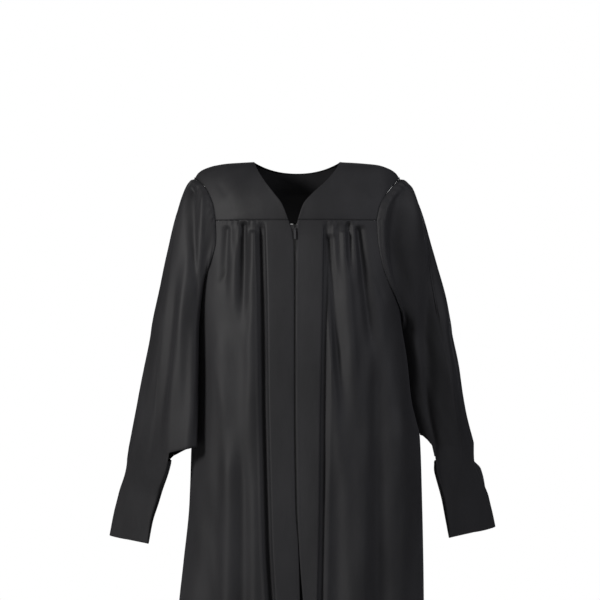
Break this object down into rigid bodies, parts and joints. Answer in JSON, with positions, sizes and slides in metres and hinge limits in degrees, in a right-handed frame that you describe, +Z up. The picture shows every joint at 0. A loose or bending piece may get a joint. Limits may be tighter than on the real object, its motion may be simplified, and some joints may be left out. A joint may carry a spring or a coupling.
{
  "type": "graduation gown",
  "caption": "Black academic gown with plain yokes, pleated fronts, a zipped centre front and long closed-ended sleeves, filled out and hollow, with a neck and hem open",
  "frame": {"origin": "midway between the two neck points of the shoulders, where the gown hangs from its wearer or a hanger", "axes": "+Z up along the gown, -Y out of the front, +X to the wearer's left"},
  "size_m": [0.9271, 0.4131, 1.3208],
  "materials": {
    "cloth": "black woven polyester with a soft sheen",
    "zip_tape": "black woven tape, matt",
    "zip_metal": "black lacquered metal"
  },
  "bodies": {
    "gown": {"yoke_front_right": "cloth", "yoke_front_left": "cloth", "yoke_back": "cloth", "front_right": "cloth", "front_left": "cloth", "back": "cloth", "sleeve_right": "cloth", "sleeve_left": "cloth", "zip_tape_right": "zip_tape", "zip_tape_left": "zip_tape", "zip_slider": "zip_metal"},
    "pull_tab": {"zip_pull_tab": "zip_metal"}
  },
  "joints": [
    {"name": "pull_tab_hinge", "type": "hinge", "parent": "gown", "child": "pull_tab", "pos_m": [-0.0047, -0.11583, -0.15978], "axis": [-1, 0, 0], "range_deg": [0, 150]}
  ]
}
